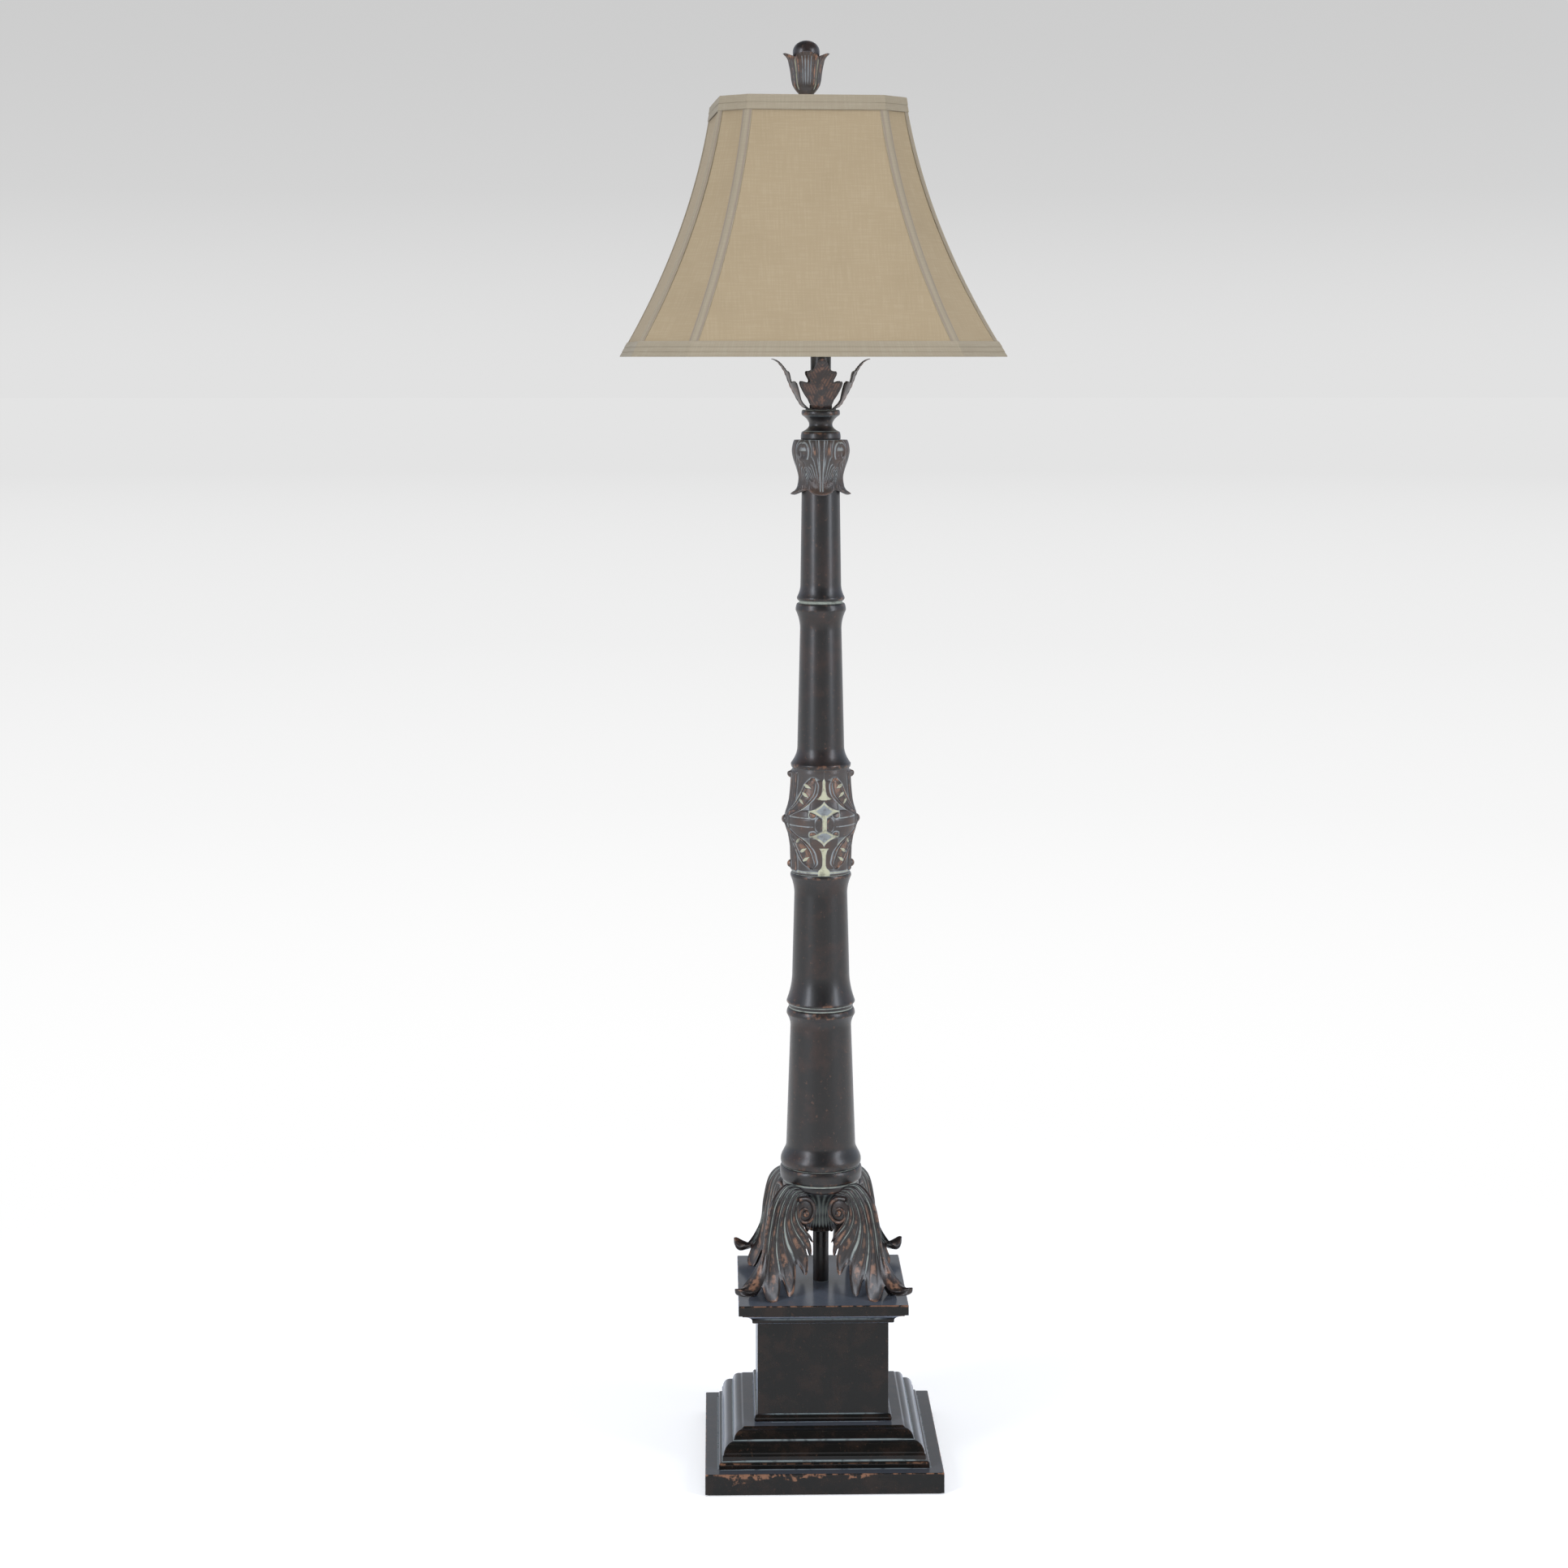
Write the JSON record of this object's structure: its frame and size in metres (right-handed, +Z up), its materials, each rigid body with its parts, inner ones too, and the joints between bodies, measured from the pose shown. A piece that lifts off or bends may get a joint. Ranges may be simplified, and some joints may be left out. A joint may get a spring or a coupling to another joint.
{
  "type": "candlestick floor lamp",
  "caption": "Candlestick floor lamp with a stepped square base, acanthus scroll legs, a turned and carved bronze column, and a cut-corner bell shade on a harp.",
  "frame": {"origin": "centre of the square base's underside, on the column's axis, at floor level", "axes": "+Z up along the column; -Y is the front, the face seen in the picture; +X to the viewer's right"},
  "size_m": [0.4482, 0.4482, 1.651],
  "materials": {
    "bronze": "cast resin, painted dark bronze with a satin lacquer, copper rubbed through on the edges",
    "carved_bronze": "cast resin, painted dark bronze with a pale green-cream wash in the hollows and copper highlights",
    "dark_metal": "satin dark bronze paint on steel tube",
    "leaf_metal": "sheet-metal leaves, dark bronze paint rubbed to copper",
    "ballast": "rough cast iron",
    "steel": "zinc-plated threaded rod and nuts",
    "brass": "satin antique brass",
    "black_plastic": "black phenolic",
    "key_plastic": "brown-black gloss key",
    "bulb_metal": "screw shell of the bulb",
    "bulb_glass": "frosted white glass",
    "frame_wire": "white powder-coated wire",
    "lining": "off-white laminated lining",
    "shade_linen": "tan linen weave with slubs",
    "trim_linen": "folded linen ribbon, stitched along both edges",
    "felt": "black felt"
  },
  "bodies": {
    "stand": {"floor_felt": "felt", "base_plate": "bronze", "ballast_weight": "ballast", "cord_bush": "black_plastic", "bottom_nut": "steel", "bottom_washer": "steel", "base_moulding": "bronze", "plinth_bead": "bronze", "plinth_box": "bronze", "cap_moulding": "bronze", "plinth_cap": "bronze", "centre_pipe": "dark_metal", "scroll_hub": "carved_bronze", "scroll_leg_front_left": "carved_bronze", "scroll_leg_front_right": "carved_bronze", "scroll_leg_back_right": "carved_bronze", "scroll_leg_back_left": "carved_bronze", "ring_turning": "bronze", "column_lower": "bronze", "column_middle": "bronze", "carved_knop": "carved_bronze", "column_upper": "bronze", "column_top": "bronze", "capital": "carved_bronze", "neck_spool": "bronze", "leaf_rosette": "leaf_metal", "neck_tube": "dark_metal", "lower_rod": "steel", "upper_rod": "steel", "rod_coupling": "steel", "harp_saddle": "brass", "neck_nut": "brass", "harp": "brass", "harp_stud": "brass", "socket_cap": "brass", "socket_shell": "brass", "socket_core": "black_plastic"},
    "left_sleeve": {"harp_sleeve_left": "brass"},
    "right_sleeve": {"harp_sleeve_right": "brass"},
    "key": {"switch_key": "key_plastic"},
    "bulb": {"bulb_base": "bulb_metal", "bulb_glass": "bulb_glass"},
    "shade": {"shade_spider": "brass", "shade_frame": "frame_wire", "shade_lining": "lining", "shade_panel_front": "shade_linen", "shade_panel_right": "shade_linen", "shade_panel_back": "shade_linen", "shade_panel_left": "shade_linen", "shade_corner_front_right": "shade_linen", "shade_corner_back_right": "shade_linen", "shade_corner_back_left": "shade_linen", "shade_corner_front_left": "shade_linen", "seam_ribbons": "trim_linen", "top_binding": "trim_linen", "bottom_binding": "trim_linen"},
    "finial": {"finial_cup": "carved_bronze", "finial_bud": "bronze", "finial_insert": "brass"}
  },
  "joints": [
    {"name": "shade_turn", "type": "hinge", "parent": "stand", "child": "shade", "pos_m": [-0.017, 0, 1.575], "axis": [0, 0, 1], "continuous": true},
    {"name": "finial_turn", "type": "hinge", "parent": "stand", "child": "finial", "pos_m": [-0.017, 0, 1.575], "axis": [0, 0, 1], "continuous": true},
    {"name": "bulb_turn", "type": "hinge", "parent": "stand", "child": "bulb", "pos_m": [0, 0, 1.35], "axis": [0, 0, 1], "continuous": true},
    {"name": "key_turn", "type": "hinge", "parent": "stand", "child": "key", "pos_m": [0, -0.02, 1.33], "axis": [0, -1, 0], "continuous": true},
    {"name": "left_sleeve_slide", "type": "slide", "parent": "stand", "child": "left_sleeve", "axis": [0, 0, 1], "range_m": [0, 0.012]},
    {"name": "right_sleeve_slide", "type": "slide", "parent": "stand", "child": "right_sleeve", "axis": [0, 0, 1], "range_m": [0, 0.012]}
  ]
}
